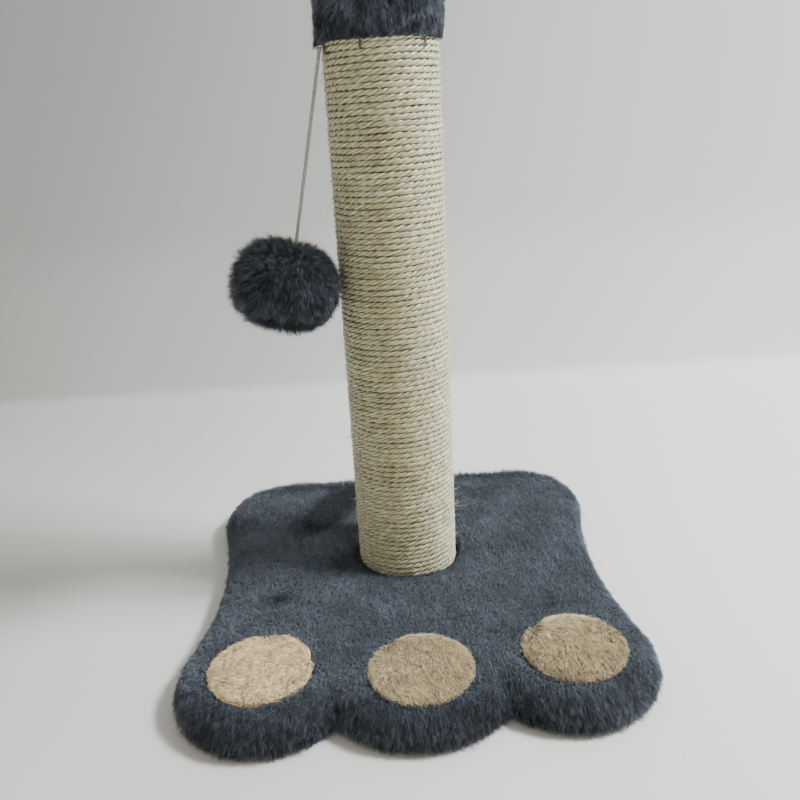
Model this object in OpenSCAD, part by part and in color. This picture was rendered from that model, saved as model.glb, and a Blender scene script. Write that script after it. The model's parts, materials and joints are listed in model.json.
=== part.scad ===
/* [Base] */
// Distance between the centres of the two outer toes
toe_gap = 177; // [172:1:181]
// Radius of the board at each outer toe
toe_r = 45; // [43:0.5:47]
// Radius of the board at the middle toe
mid_toe_r = 55.5; // [54:0.5:58]
// Distance between the centres of the two rear corners
rear_gap = 191; // [186:1:196]
// Radius of the board at the rear corners
rear_r = 41; // [39:0.5:43]
// Radius of the hollow along each side of the board
waist_r = 355; // [320:5:400]
// Thickness of the board
board_t = 12; // [12:0.5:15]
// Thickness of the woven back of the plush
fabric_t = 1; // [0.8:0.1:1.2]
// Length of the plush pile
pile_h = 8; // [7:0.5:9]
// Radius of the toe pads
pad_r = 31; // [29:0.5:32]

/* [Post] */
// Distance of the post's axis behind the middle of the base
post_y = 25; // [20:1:30]
// Outer radius of the cardboard tube
tube_r = 31.5; // [30.5:0.5:32]
// Wall of the cardboard tube
tube_wall = 4; // [3:0.5:5]
// Height of the tube's upper end above the floor
tube_top = 392; // [385:1:400]
// Diameter of the sisal rope
rope_d = 3.5; // [3.4:0.1:3.8]
// Number of turns of rope on the post
rope_turns = 100; // [92:1:101]
// Height of the collar's lower edge above the floor
collar_z = 361; // [358:1:364]

/* [Toy] */
// Radius of the round edge of the plush ball
ball_round = 27.5; // [26:0.5:28]
// Radius of the flat middle of the plush ball
ball_flat = 5.8; // [4:0.2:6]
// Diameter of the elastic cord
cord_d = 2; // [1.6:0.1:2.2]

/* [Hidden] */
$fn = 96;

// Colours
plush_blue = [0.33, 0.37, 0.41];
plush_dark = [0.22, 0.24, 0.27];
plush_cream = [0.72, 0.66, 0.56];
sisal = [0.70, 0.67, 0.56];
card = [0.62, 0.50, 0.36];
wood_board = [0.68, 0.56, 0.40];
steel = [0.60, 0.61, 0.63];
staple_grey = [0.35, 0.36, 0.38];
cord_grey = [0.66, 0.67, 0.67];
felt = [0.16, 0.17, 0.18];
white = [0.90, 0.90, 0.88];

// Layers of the base, from the floor up
backing_t = 0.8;
flange_t = 1.6;
board_z = backing_t + flange_t;
board_top = board_z + board_t;
cover_t = fabric_t + pile_h;
base_top = board_top + cover_t;
// How far the cover is turned under the board, and the backing's inset
flange_w = 20;
backing_inset = 8;
step_inset = 22;

// Centres of the board's round corners, seen from above
toe_c = [toe_gap / 2, -94];
mid_toe_c = [0, -88.5];
rear_c = [rear_gap / 2, 103];
// Centre of the arc that hollows the side: it touches the toe and the rear corner
span = norm(rear_c - toe_c);
to_toe = waist_r + toe_r;
to_rear = waist_r + rear_r;
along = (to_toe * to_toe - to_rear * to_rear + span * span) / (2 * span);
out = sqrt(to_toe * to_toe - along * along);
u = (rear_c - toe_c) / span;
waist_c = toe_c + along * u + out * [u[1], -u[0]];

// Toe pads
pad_gap = 0.3;
pad_rise = 0.4;
pad_side = [91.5, -101];
pad_mid = [1, -110.5];

// Post and its fixing
post_gap = 2.5;
rope_r = rope_d / 2;
rope_out = tube_r + rope_d;
rope_z0 = board_top + 0.2;
rope_pitch = (collar_z - rope_z0) / rope_turns;
plug_r = tube_r - tube_wall;
bottom_plug_t = 20;
top_plug_t = 15;
bolt_r = 4;
bolt_len = 35;
bolt_clear = 0.5;
head_r = 7;
head_t = 3.2;
hex_r = 2.9;
hex_depth = 2;
washer_r = 12;
washer_t = 1.6;
recess_r = 13;
recess_depth = 5;
seat_z = board_z + recess_depth;
nut_flange_r = 11;
nut_flange_t = 1.5;
nut_barrel_r = 5;
nut_barrel_h = 10;
collar_r = tube_r + 7;

// Staples: wire cross-section, crown width and leg length
wire_w = 1.2;
wire_t = 0.6;
crown = 10;
leg = 6;
// Directions in which the staples stand round the top of the rope
rope_staple_angles = [-157, -110, -46, 14, 74, 136];

// Cord: from the knot under the collar to the dimple of the ball
cord_route = [[-35.3, 14.2, 358.6], [-47.2, 10.6, 302.5], [-59.2, 6.9, 246.4]];
cord_sides = 8;
cord_step = 5;
knot_r = 1.5;
end_knot_r = 1.6;
anchor = cord_route[0];
cord_end = cord_route[2];
cord_dir = (cord_end - anchor) / norm(cord_end - anchor);
// Direction of the toy seen from the post's axis
toy_angle = atan2(anchor[1] - post_y, anchor[0]);

// Lean of the ball's own axis from upright, as it rests against the post
ball_lean = 17;
ball_dir = [sin(ball_lean) * cos(toy_angle), sin(ball_lean) * sin(toy_angle), -cos(ball_lean)];
// Ball, measured along its own axis from its centre
dimple_z = 22.5;
dimple_r = 7;
neck_r = 3;
fill_round = ball_round - cover_t + 1.5;
thread_r = 0.5;

// Outline of the paw, o outside the edge of the board
module paw(o) {
    for (s = [-1, 1]) {
        translate([s * toe_c[0], toe_c[1]]) circle(toe_r + o);
        translate([s * rear_c[0], rear_c[1]]) circle(rear_r + o);
    }
    translate(mid_toe_c) circle(mid_toe_r + o);
    polygon([[-rear_c[0], rear_c[1]], [-toe_c[0], toe_c[1]], mid_toe_c,
             toe_c, rear_c, [rear_c[0], rear_c[1] + rear_r + o],
             [-rear_c[0], rear_c[1] + rear_r + o]]);
    for (s = [0, 1]) mirror([s, 0]) side(o);
}

// Strip between an outer toe and a rear corner, hollowed by the waist
module side(o) {
    toe_touch = toe_c + (toe_r + o) * (waist_c - toe_c) / to_toe;
    rear_touch = rear_c + (rear_r + o) * (waist_c - rear_c) / to_rear;
    difference() {
        polygon([toe_c, toe_touch, rear_touch, rear_c]);
        translate(waist_c) circle(waist_r - o, $fn = 360);
    }
}

// Slab with the paw outline from height z0 to z1
module paw_slab(o, z0, z1) {
    translate([0, 0, z0]) linear_extrude(z1 - z0) paw(o);
}

module at_post() { translate([0, post_y, 0]) children(); }

// Disc or ring on the post's axis
module ring(r, z0, z1, hole = 0) {
    at_post() translate([0, 0, z0]) difference() {
        cylinder(h = z1 - z0, r = r);
        if (hole > 0) translate([0, 0, -1]) cylinder(h = z1 - z0 + 2, r = hole);
    }
}

// Staple with its crown along X in the plane z = 0 and its legs down
module staple(width, depth) {
    translate([-width / 2, -wire_w / 2, -wire_t]) cube([width, wire_w, wire_t]);
    for (s = [-1, 1])
        translate([s * (width - wire_t) / 2 - wire_t / 2, -wire_w / 2, -depth])
            cube([wire_t, wire_w, depth]);
}

module base_board() {
    color(wood_board) difference() {
        paw_slab(0, board_z, board_top);
        ring(bolt_r + bolt_clear, board_z - 1, board_top + 1);
        ring(recess_r, board_z - 1, seat_z);
    }
}

module pad_places() {
    translate([-pad_side[0], pad_side[1]]) children();
    translate(pad_mid) children();
    translate(pad_side) children();
}

module base_cover() {
    color(plush_blue) {
        difference() {
            paw_slab(cover_t, backing_t, base_top);
            paw_slab(0, backing_t - 1, board_top);
            ring(rope_out + post_gap, board_top - 1, base_top + 1);
            pad_places() translate([0, 0, board_top - 1])
                cylinder(h = cover_t + 2, r = pad_r + pad_gap);
        }
        difference() {
            paw_slab(0, backing_t, board_z);
            paw_slab(-flange_w, backing_t - 1, board_z + 1);
        }
    }
}

module base_backing() {
    color(felt) difference() {
        union() {
            paw_slab(-backing_inset, 0, backing_t);
            paw_slab(-step_inset, 0, board_z);
        }
        paw_slab(-step_inset - backing_t, -1, board_z - backing_t);
        ring(recess_r, -1, board_z + 1);
    }
}

// Staples along the turned-under edge: rear, sides and toes
module underside_staples() {
    inset = 15;
    rear_y = rear_c[1] + rear_r - inset;
    waist_x = waist_c[0] - waist_r - inset;
    color(staple_grey) {
        for (x = [-90:36:90]) translate([x, rear_y]) up_staple(0);
        for (s = [-1, 1]) {
            for (y = [-35, 10, 55]) translate([s * (waist_x + 0.5), y]) up_staple(90);
            for (a = [-70, -25]) toe_staple(s, a, toe_c, toe_r - inset);
            toe_staple(s, -115, toe_c, toe_r - inset);
            toe_staple(s, -75, mid_toe_c, mid_toe_r - inset);
        }
    }
}

module toe_staple(s, a, c, r) {
    translate([s * (c[0] + r * cos(a)), c[1] + r * sin(a)]) up_staple(s * (a + 90));
}

module up_staple(turn) {
    rotate([0, 0, turn]) mirror([0, 0, 1]) staple(crown, leg);
}

module toe_pad(x, y) {
    color(plush_cream) translate([x, y, board_top])
        cylinder(h = cover_t + pad_rise, r = pad_r);
}

module toe_pad_left() { toe_pad(-pad_side[0], pad_side[1]); }
module toe_pad_middle() { toe_pad(pad_mid[0], pad_mid[1]); }
module toe_pad_right() { toe_pad(pad_side[0], pad_side[1]); }

module post_tube() {
    color(card) ring(tube_r, board_top, tube_top, plug_r);
}

module bottom_plug() {
    color(wood_board) difference() {
        ring(plug_r, board_top, board_top + bottom_plug_t, bolt_r + bolt_clear);
        ring(nut_barrel_r, board_top + bottom_plug_t - nut_barrel_h, board_top + bottom_plug_t + 1);
    }
}

module tee_nut() {
    top = board_top + bottom_plug_t;
    color(steel) {
        ring(nut_flange_r, top, top + nut_flange_t, bolt_r);
        ring(nut_barrel_r, top - nut_barrel_h, top, bolt_r);
    }
}

module post_bolt() {
    head_z = seat_z - washer_t - head_t;
    color(steel) difference() {
        union() {
            ring(head_r, head_z, head_z + head_t);
            ring(bolt_r, head_z, head_z + head_t + bolt_len);
        }
        at_post() translate([0, 0, head_z - 1])
            cylinder(h = hex_depth + 1, r = hex_r, $fn = 6);
    }
}

module bolt_washer() {
    color(steel) ring(washer_r, seat_z - washer_t, seat_z, bolt_r + 0.2);
}

module sisal_rope() {
    color(sisal) at_post() rotate_extrude() {
        translate([tube_r, rope_z0]) square([rope_r, collar_z - rope_z0]);
        for (i = [0:rope_turns - 1])
            translate([tube_r + rope_r, rope_z0 + (i + 0.5) * rope_pitch]) circle(rope_r, $fn = 24);
    }
}

// Staples across the last turn of rope, half under the collar
module rope_staples() {
    color(staple_grey) at_post() for (a = rope_staple_angles)
        rotate([0, 0, a]) translate([rope_out + wire_t, 0, collar_z - 1])
            rotate([0, 90, 0]) staple(8, leg);
}

module top_plug() {
    color(wood_board) ring(plug_r, tube_top - top_plug_t, tube_top);
}

// Band of plush round the top of the tube, with a pocket for the cord's end
module collar_band() {
    color(plush_dark) difference() {
        ring(collar_r, collar_z, tube_top, tube_r);
        at_post() rotate([0, 0, toy_angle])
            translate([tube_r - 1, -4, collar_z - 1]) cube([6.9, 8, 14]);
    }
}

module cap_cover() {
    round_r = 4;
    color(plush_dark) at_post() translate([0, 0, tube_top]) rotate_extrude() {
        square([collar_r, cover_t - round_r]);
        square([collar_r - round_r, cover_t]);
        translate([collar_r - round_r, cover_t - round_r]) circle(round_r);
    }
}

// Fixed end of the cord, laid up the tube under the collar
module cord_tail() {
    foot = [rope_out + 1.1, 0, collar_z - 0.6];
    head = [tube_r + 1.6, 0, collar_z + 10];
    run = norm(head - foot);
    color(cord_grey) at_post() rotate([0, 0, toy_angle]) translate(foot)
        rotate([0, -acos((head[2] - foot[2]) / run), 0]) cylinder(h = run, r = cord_d / 2);
}

// Staple across the cord's fixed end
module cord_staple() {
    color(staple_grey) at_post() rotate([0, 0, toy_angle])
        translate([tube_r + 4.6, 0, collar_z + 7]) rotate([90, 0, 90]) staple(6, leg + 2);
}

module cord_top_knot() {
    color(cord_grey) translate(anchor) sphere(knot_r);
}

// Stations along the cord's route
function leg_points(a, b) =
    let (n = ceil(norm(b - a) / cord_step)) [for (i = [0:n - 1]) a + (b - a) * i / n];
function route_points(r) = concat([for (i = [0:len(r) - 2]) each leg_points(r[i], r[i + 1])],
                                  [r[len(r) - 1]]);

// Tube swept along a nearly straight route that runs down
module swept_tube(path, radius, sides) {
    n = len(path);
    axis = (path[n - 1] - path[0]) / norm(path[n - 1] - path[0]);
    x1 = cross(axis, [0, 1, 0]);
    x = x1 / norm(x1);
    y = cross(axis, x);
    points = [for (p = path, k = [0:sides - 1])
        p + radius * (cos(360 * k / sides) * x + sin(360 * k / sides) * y)];
    walls = [for (i = [0:n - 2], k = [0:sides - 1])
        [i * sides + k, i * sides + (k + 1) % sides,
         (i + 1) * sides + (k + 1) % sides, (i + 1) * sides + k]];
    first = [[for (k = [sides - 1:-1:0]) k]];
    last = [[for (k = [0:sides - 1]) (n - 1) * sides + k]];
    polyhedron(points, concat(walls, first, last), convexity = 2);
}

module toy_cord() {
    start = anchor + (knot_r + 0.1) * cord_dir;
    stop = cord_end - 0.1 * cord_dir;
    color(cord_grey) swept_tube(route_points([start, cord_route[1], stop]), cord_d / 2, cord_sides);
}

// Children are placed on the ball's axis, with the dimple up
module at_ball() {
    translate(cord_end + dimple_z * ball_dir)
        rotate([0, 0, toy_angle]) rotate([0, -ball_lean, 0]) children();
}

module ball_body(round_r, flat_r) {
    rotate_extrude() intersection() {
        union() {
            translate([flat_r, 0]) circle(round_r);
            translate([0, -round_r]) square([flat_r, 2 * round_r]);
        }
        translate([0, -round_r - 1]) square([round_r + flat_r + 1, 2 * round_r + 2]);
    }
}

module ball_cover() {
    color(plush_dark) at_ball() difference() {
        ball_body(ball_round, ball_flat);
        ball_body(fill_round, ball_flat);
        translate([0, 0, dimple_z])
            cylinder(h = ball_round - dimple_z + 0.01, r1 = neck_r + 1, r2 = dimple_r);
        translate([0, 0, fill_round - 1]) cylinder(h = ball_round, r = end_knot_r + 0.1);
    }
}

module ball_filling() {
    color(white) at_ball() difference() {
        ball_body(fill_round - 0.1, ball_flat);
        translate([0, 0, dimple_z - end_knot_r - 0.1]) sphere(end_knot_r + 0.3);
    }
}

module cord_end_knot() {
    color(cord_grey) at_ball() translate([0, 0, dimple_z - end_knot_r]) sphere(end_knot_r);
}

// Thread that closes the neck of the ball round the cord
module gather_thread() {
    color(plush_dark) at_ball() translate([0, 0, dimple_z + thread_r]) rotate_extrude()
        translate([neck_r, 0]) circle(thread_r, $fn = 24);
}

base_board();
base_cover();
base_backing();
underside_staples();
toe_pad_left();
toe_pad_middle();
toe_pad_right();
post_tube();
bottom_plug();
tee_nut();
post_bolt();
bolt_washer();
sisal_rope();
rope_staples();
top_plug();
collar_band();
cap_cover();
cord_tail();
cord_staple();
cord_top_knot();
toy_cord();
cord_end_knot();
ball_cover();
ball_filling();
gather_thread();
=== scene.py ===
"""A small cat scratching post: plush paw base, sisal post, plush collar and a plush ball on a cord."""
import json
import math

import bpy
import numpy as np
from mathutils import Matrix, Vector, geometry, kdtree


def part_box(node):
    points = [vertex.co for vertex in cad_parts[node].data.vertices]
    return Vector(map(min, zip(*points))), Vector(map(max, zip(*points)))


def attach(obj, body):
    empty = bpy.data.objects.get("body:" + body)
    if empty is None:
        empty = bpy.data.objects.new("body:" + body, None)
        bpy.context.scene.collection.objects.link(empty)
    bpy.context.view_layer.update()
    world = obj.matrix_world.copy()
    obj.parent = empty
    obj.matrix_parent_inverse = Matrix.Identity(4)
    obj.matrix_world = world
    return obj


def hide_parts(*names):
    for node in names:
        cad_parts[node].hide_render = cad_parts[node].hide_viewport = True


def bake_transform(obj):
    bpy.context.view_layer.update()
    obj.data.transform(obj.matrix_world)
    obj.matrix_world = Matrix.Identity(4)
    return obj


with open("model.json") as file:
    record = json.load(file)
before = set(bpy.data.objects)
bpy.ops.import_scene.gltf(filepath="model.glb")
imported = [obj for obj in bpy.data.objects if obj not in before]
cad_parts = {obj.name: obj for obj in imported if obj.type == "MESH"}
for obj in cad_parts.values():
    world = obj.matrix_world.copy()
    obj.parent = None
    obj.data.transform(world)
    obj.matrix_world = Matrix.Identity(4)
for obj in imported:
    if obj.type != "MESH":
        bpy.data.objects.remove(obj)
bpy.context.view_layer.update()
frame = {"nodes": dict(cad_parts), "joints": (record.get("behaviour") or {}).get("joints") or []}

MM = 0.001
TAU = 2 * math.pi


# ======== sizes, in millimetres
def cad_box(node):
    """Lowest and highest corner of a CAD node, in millimetres."""
    lo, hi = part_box(node)
    return np.array(lo) / MM, np.array(hi) / MM


TUBE_LO, TUBE_HI = cad_box("post_tube")
POST = ((TUBE_LO + TUBE_HI) / 2)[:2]
TUBE_R = (TUBE_HI - TUBE_LO)[0] / 2
ROPE_LO, ROPE_HI = cad_box("sisal_rope")
ROPE_OUT = (ROPE_HI - ROPE_LO)[0] / 2
ROPE_R = (ROPE_OUT - TUBE_R) / 2
ROPE_TURNS = 100
COLLAR_LO, COLLAR_HI = cad_box("collar_band")
CAP_TOP = cad_box("cap_cover")[1][2]
BOARD_TOP = cad_box("base_board")[1][2]
FABRIC = 1.0
# The pile's lower part is so close that the skin stands for it, and the hairs are the part above it
UNDERPILE = 6.0
SKIN_TOP = BOARD_TOP + FABRIC + UNDERPILE

# Round corners of the board seen from above, and the hollow of its sides
TOE_C, TOE_R = np.array([88.5, -94.0]), 45.0
MID_C, MID_R = np.array([0.0, -88.5]), 55.5
REAR_C, REAR_R = np.array([95.5, 103.0]), 41.0
WAIST_R = 355.0
POST_HOLE_R = ROPE_OUT + 1.0
PADS = {side: cad_box(f"toe_pad_{side}") for side in ("left", "middle", "right")}

# Route of the cord, from the knot under the collar to the ball, in metres
CORD_ROUTE = [(-0.0353, 0.0142, 0.3586), (-0.0472, 0.0106, 0.3025), (-0.0592, 0.0069, 0.2464)]
CORD_R = 1.0

BALL_TWIST = next(j for j in frame["joints"] if j["name"] == "ball_twist")
BALL_UP = -np.array(BALL_TWIST["axis"], float)
BALL_NECK = np.array(CORD_ROUTE[-1]) / MM
NECK_HEIGHT = 22.5
BALL_C = BALL_NECK - NECK_HEIGHT * BALL_UP
BALL_ROUND, BALL_FLAT = 27.5, 5.8

ROOT = "post_and_base"


# ======== mesh helpers
def unit(v):
    return v / np.maximum(np.linalg.norm(v, axis=-1, keepdims=True), 1e-9)


def dot(a, b):
    return (a * b).sum(-1, keepdims=True)


def bearing(v):
    """Angle of a vector, seen from above."""
    return math.atan2(v[1], v[0])


def heading(angle):
    """Level unit vectors at these angles."""
    return np.stack([np.cos(angle), np.sin(angle), np.zeros(len(angle))], 1)


def distance(points, centre):
    """How far each point is from a centre, seen from above."""
    return np.linalg.norm(points[:, :2] - centre, axis=1)


def at_height(outline, z):
    """Points of a flat outline, all at one height."""
    return np.column_stack([outline, np.full(len(outline), z)])


def mesh_piece(name, verts, faces, material, body=ROOT, slot=None, attributes=None, uvs=None):
    """Piece from vertices in millimetres and a list of face arrays. uvs holds a value per face corner."""
    loops = np.concatenate([f.ravel() for f in faces])
    sides = np.concatenate([np.full(len(f), f.shape[1]) for f in faces])
    mesh = bpy.data.meshes.new(name)
    mesh.vertices.add(len(verts))
    mesh.vertices.foreach_set("co", (np.asarray(verts) * MM).astype(np.float32).ravel())
    mesh.loops.add(len(loops))
    mesh.loops.foreach_set("vertex_index", loops.astype(np.int32))
    mesh.polygons.add(len(sides))
    mesh.polygons.foreach_set("loop_start", np.concatenate([[0], np.cumsum(sides)[:-1]]).astype(np.int32))
    mesh.polygons.foreach_set("use_smooth", np.ones(len(sides), bool))
    mesh.update(calc_edges=True)
    for key, values in (attributes or {}).items():
        data = mesh.attributes.new(key, "FLOAT", "POINT").data
        data.foreach_set("value", np.asarray(values, np.float32).ravel())
    for key, uv in (uvs or {}).items():
        mesh.uv_layers.new(name=key).data.foreach_set("uv", np.asarray(uv, np.float32).ravel())
    mesh.materials.append(material)
    piece = bpy.data.objects.new(name, mesh)
    bpy.context.scene.collection.objects.link(piece)
    if body:
        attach(piece, body)
    return piece


def grid_faces(rows, cols, closed=True):
    """Quads over a grid of vertices, closed round its columns or open."""
    r, c = np.meshgrid(np.arange(rows - 1), np.arange(cols if closed else cols - 1), indexing="ij")
    r, c, c2 = r.ravel(), c.ravel(), (c.ravel() + 1) % cols
    return np.stack([r * cols + c, r * cols + c2, (r + 1) * cols + c2, (r + 1) * cols + c], 1)


def end_faces(rings, sides):
    """The faces that close both ends of a tube."""
    return np.array([np.arange(sides)[::-1], (rings - 1) * sides + np.arange(sides)])


def as_triangles(faces):
    return np.concatenate([f[:, [0, k, k + 1]] for f in faces for k in range(1, f.shape[1] - 1)])


def vertex_normals(verts, tris):
    n = np.cross(verts[tris[:, 1]] - verts[tris[:, 0]], verts[tris[:, 2]] - verts[tris[:, 0]])
    total = np.zeros_like(verts)
    for k in range(3):
        np.add.at(total, tris[:, k], n)
    return unit(total)


def waves(points, size, seed, count=12):
    """Smooth noise, mostly from -1 to 1, with features about as long as size."""
    rng = np.random.default_rng(seed)
    k = unit(rng.normal(size=(count, points.shape[1]))) * TAU / size * rng.uniform(0.5, 1.5, (count, 1))
    return np.sin(points @ k.T + rng.uniform(0, TAU, count)).sum(1) / math.sqrt(count)


def tube(path, radius, sides):
    """Vertices and faces of a closed tube; radius is a number or a grid of rings by sides."""
    path = np.asarray(path, float)
    n = len(path)
    tangent = unit(np.gradient(path, axis=0))
    side = np.array([0.31, 0.93, 0.2])
    normals = np.empty_like(path)
    for i, t in enumerate(tangent):
        side = unit(side - t * (side @ t))
        normals[i] = side
    binormals = np.cross(tangent, normals)
    angle = np.arange(sides) * TAU / sides
    ring = np.cos(angle)[:, None] * normals[:, None] + np.sin(angle)[:, None] * binormals[:, None]
    verts = path[:, None] + ring * (np.ones((n, sides)) * radius)[..., None]
    return verts.reshape(-1, 3), [grid_faces(n, sides), end_faces(n, sides)]


# ======== materials
class Shader:
    """A node material with one Principled shader."""

    def __init__(self, name, colour, roughness, specular=0.5, **sockets):
        self.material = bpy.data.materials.new(name)
        self.material.use_nodes = True
        self.tree = self.material.node_tree
        self.main = self.tree.nodes["Principled BSDF"]
        values = {"Base Color": (*colour, 1.0), "Roughness": roughness, "Specular IOR Level": specular}
        values.update({key.replace("_", " "): value for key, value in sockets.items()})
        for key, value in values.items():
            self.main.inputs[key].default_value = value

    def node(self, kind, inputs=None, **settings):
        n = self.tree.nodes.new(kind)
        for key, value in settings.items():
            setattr(n, key, value)
        for key, value in (inputs or {}).items():
            n.inputs[key].default_value = value
        return n

    def link(self, source, target):
        self.tree.links.new(source, target)

    def attribute(self, name):
        return self.node("ShaderNodeAttribute", attribute_name=name).outputs["Fac"]

    def coordinates(self, scale=(1, 1, 1), layer=None):
        """Object coordinates, or those of a UV layer, scaled."""
        if layer:
            source = self.node("ShaderNodeUVMap", uv_map=layer).outputs[0]
        else:
            source = self.node("ShaderNodeTexCoord").outputs["Object"]
        mapping = self.node("ShaderNodeMapping", {"Scale": scale})
        self.link(source, mapping.inputs["Vector"])
        return mapping.outputs[0]

    def noise(self, scale, detail=3.0, coordinates=None):
        n = self.node("ShaderNodeTexNoise", {"Scale": scale, "Detail": detail})
        self.link(coordinates or self.coordinates(), n.inputs["Vector"])
        return n.outputs["Fac"]

    def ramp(self, source, *stops):
        """Colour ramp through (position, colour) stops."""
        n = self.node("ShaderNodeValToRGB")
        elements = n.color_ramp.elements
        while len(elements) < len(stops):
            elements.new(0.5)
        for element, (position, colour) in zip(elements, stops):
            element.position = position
            element.color = (*colour, 1.0)
        self.link(source, n.inputs[0])
        return n.outputs[0]

    def multiply(self, a, b):
        n = self.node("ShaderNodeMix", {0: 1.0}, data_type="RGBA", blend_type="MULTIPLY")
        self.link(a, n.inputs[6])
        self.link(b, n.inputs[7])
        return n.outputs[2]

    def colour(self, source):
        self.link(source, self.main.inputs["Base Color"])
        return self

    def bump(self, height, strength, distance):
        n = self.node("ShaderNodeBump", {"Strength": strength, "Distance": distance})
        self.link(height, n.inputs["Height"])
        self.link(n.outputs[0], self.main.inputs["Normal"])
        return self


def grey(v):
    return (v, v, v)


def scaled(colour, k):
    return tuple(c * k for c in colour)


def hair_material(name, shaded_root, tip):
    """Plush hair, painted darker near the skin as shade deep in the pile; every tuft has a tone of its own.
    """
    m = Shader(name, tip, 0.75, specular=0.25, Sheen_Weight=0.2, Sheen_Roughness=0.4)
    body = m.ramp(m.attribute("along"), (0.0, shaded_root), (0.5, scaled(tip, 0.8)), (1.0, tip))
    tint = m.ramp(m.attribute("tone"), (0.0, grey(0.10)), (0.25, grey(0.48)), (0.5, grey(0.9)),
                  (1.0, grey(1.8)))
    return m.colour(m.multiply(body, tint)).material


def grained(name, colour, roughness, noise, stops, bump, stretch=(1, 1, 1), **sockets):
    """Material whose colour and bump both follow one fine noise, of (scale, detail)."""
    m = Shader(name, colour, roughness, **sockets)
    grain = m.noise(*noise, m.coordinates(stretch))
    m.colour(m.ramp(grain, *stops))
    return m.bump(grain, *bump).material


def woven_material(name, colour):
    """Knitted back of the plush, between the roots of its hairs."""
    stops = (0.3, scaled(colour, 0.7)), (0.7, scaled(colour, 1.2))
    return grained(name, colour, 0.95, (900, 2.0), stops, (0.4, 0.0004), specular=0.1)


def sisal_material():
    """Silky pale fibres that run along each strand, some greener and some browner, with painted shade between
    the strands and painted light on their outermost parts.
    """
    m = Shader("sisal_strand", (0.54, 0.5, 0.3), 0.26, specular=1.0, Sheen_Weight=0.15, Sheen_Roughness=0.3)
    fibres = m.noise(1.0, 3.0, m.coordinates((0.25, 7.0, 1.0), "fibre"))
    patches = m.noise(1.0, 2.0, m.coordinates((0.012, 0.0, 1.0), "fibre"))
    hanks = m.noise(1.0, 2.0, m.coordinates((0.16, 1.3, 1.0), "fibre"))
    body = m.ramp(fibres, (0.3, (0.37, 0.335, 0.21)), (0.5, (0.66, 0.63, 0.42)), (0.68, (0.96, 0.95, 0.75)))
    tint = m.ramp(patches, (0.3, (0.84, 0.86, 0.80)), (0.5, (0.98, 0.97, 0.93)), (0.7, (1.06, 1.02, 0.90)))
    shade = m.ramp(hanks, (0.3, grey(0.72)), (0.5, grey(1.0)), (0.7, grey(1.2)))
    gap_shade_and_top_light = m.ramp(m.attribute("depth"), (0.0, (0.62, 0.60, 0.53)), (0.55, (0.96, 0.96, 0.95)),
                  (1.0, (1.10, 1.13, 1.15)))
    # A brownish band down the rope's front, partly wear and partly painted shade
    wear_and_front_shade = m.ramp(m.attribute("wear_and_front_shade"), (0.0, grey(1.0)), (1.0, (0.88, 0.84, 0.76)))
    m.colour(m.multiply(m.multiply(m.multiply(body, tint), m.multiply(shade, gap_shade_and_top_light)), wear_and_front_shade))
    return m.bump(fibres, 1.0, 0.0008).material


def loose_fibre_material():
    m = Shader("sisal_loose_fibre", (0.72, 0.66, 0.46), 0.45, specular=0.5)
    return m.colour(m.ramp(m.noise(60), (0.3, (0.68, 0.61, 0.40)), (0.7, (0.95, 0.90, 0.70)))).material


def elastic_material():
    """Braided cover of the elastic cord."""
    stops = (0.35, (0.36, 0.36, 0.35)), (0.65, (0.56, 0.56, 0.55))
    return grained("cord_elastic", (0.50, 0.50, 0.49), 0.6, (1400, 1.0), stops, (0.3, 0.0002),
                   stretch=(1.0, 1.0, 0.35), specular=0.4)


def board_material(name, pale, dark):
    """Pressed wood chips or fibres."""
    stops = (0.35, dark), (0.55, pale), (0.7, scaled(pale, 1.15))
    return grained(name, pale, 0.8, (260, 4.0), stops, (0.3, 0.0005), specular=0.3)


def card_material():
    """Tube of brown paper wound on a slant."""
    stops = (0.35, (0.27, 0.18, 0.10)), (0.65, (0.42, 0.30, 0.18))
    return grained("tube_card", (0.35, 0.24, 0.14), 0.85, (140, 4.0), stops, (0.2, 0.0003),
                   stretch=(1.0, 1.0, 2.5), specular=0.25)


def metal_material(name, colour, roughness):
    stops = (0.3, scaled(colour, 0.75)), (0.7, scaled(colour, 1.15))
    return grained(name, colour, roughness, (700, 3.0), stops, (0.15, 0.0001), Metallic=1.0)


def felt_material():
    stops = (0.3, (0.010, 0.011, 0.013)), (0.7, (0.045, 0.047, 0.052))
    return grained("backing_felt", (0.02, 0.021, 0.024), 0.95, (1100, 4.0), stops, (0.6, 0.0005),
                   specular=0.15, Sheen_Weight=0.2)


def wadding_material():
    stops = (0.3, grey(0.62)), (0.7, (0.86, 0.86, 0.84))
    return grained("fibre_white", (0.8, 0.8, 0.78), 0.9, (500, 5.0), stops, (0.8, 0.001), specular=0.2)


BLUE = hair_material("plush_blue_hair", (0.15, 0.177, 0.215), (0.245, 0.29, 0.36))
DARK = hair_material("plush_dark_hair", (0.05, 0.06, 0.078), (0.22, 0.262, 0.325))
CREAM = hair_material("plush_cream_hair", (0.84, 0.68, 0.42), (1.0, 0.84, 0.54))
BLUE_BACK = woven_material("plush_blue_back", (0.085, 0.105, 0.13))
CREAM_BACK = woven_material("plush_cream_back", (0.80, 0.67, 0.45))
SISAL = sisal_material()
CORD = elastic_material()
THREAD = woven_material("thread_dark", (0.03, 0.033, 0.04))
STAPLE = metal_material("staple_steel", (0.18, 0.19, 0.21), 0.45)
ZINC = metal_material("zinc_steel", (0.52, 0.53, 0.54), 0.32)


# ======== camera
CAMERA_AT = (-0.0125, -0.4858, 0.3238)
PITCH_DOWN, YAW, ROLL = math.radians(19.93), math.radians(-1.42), math.radians(3.11)


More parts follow.
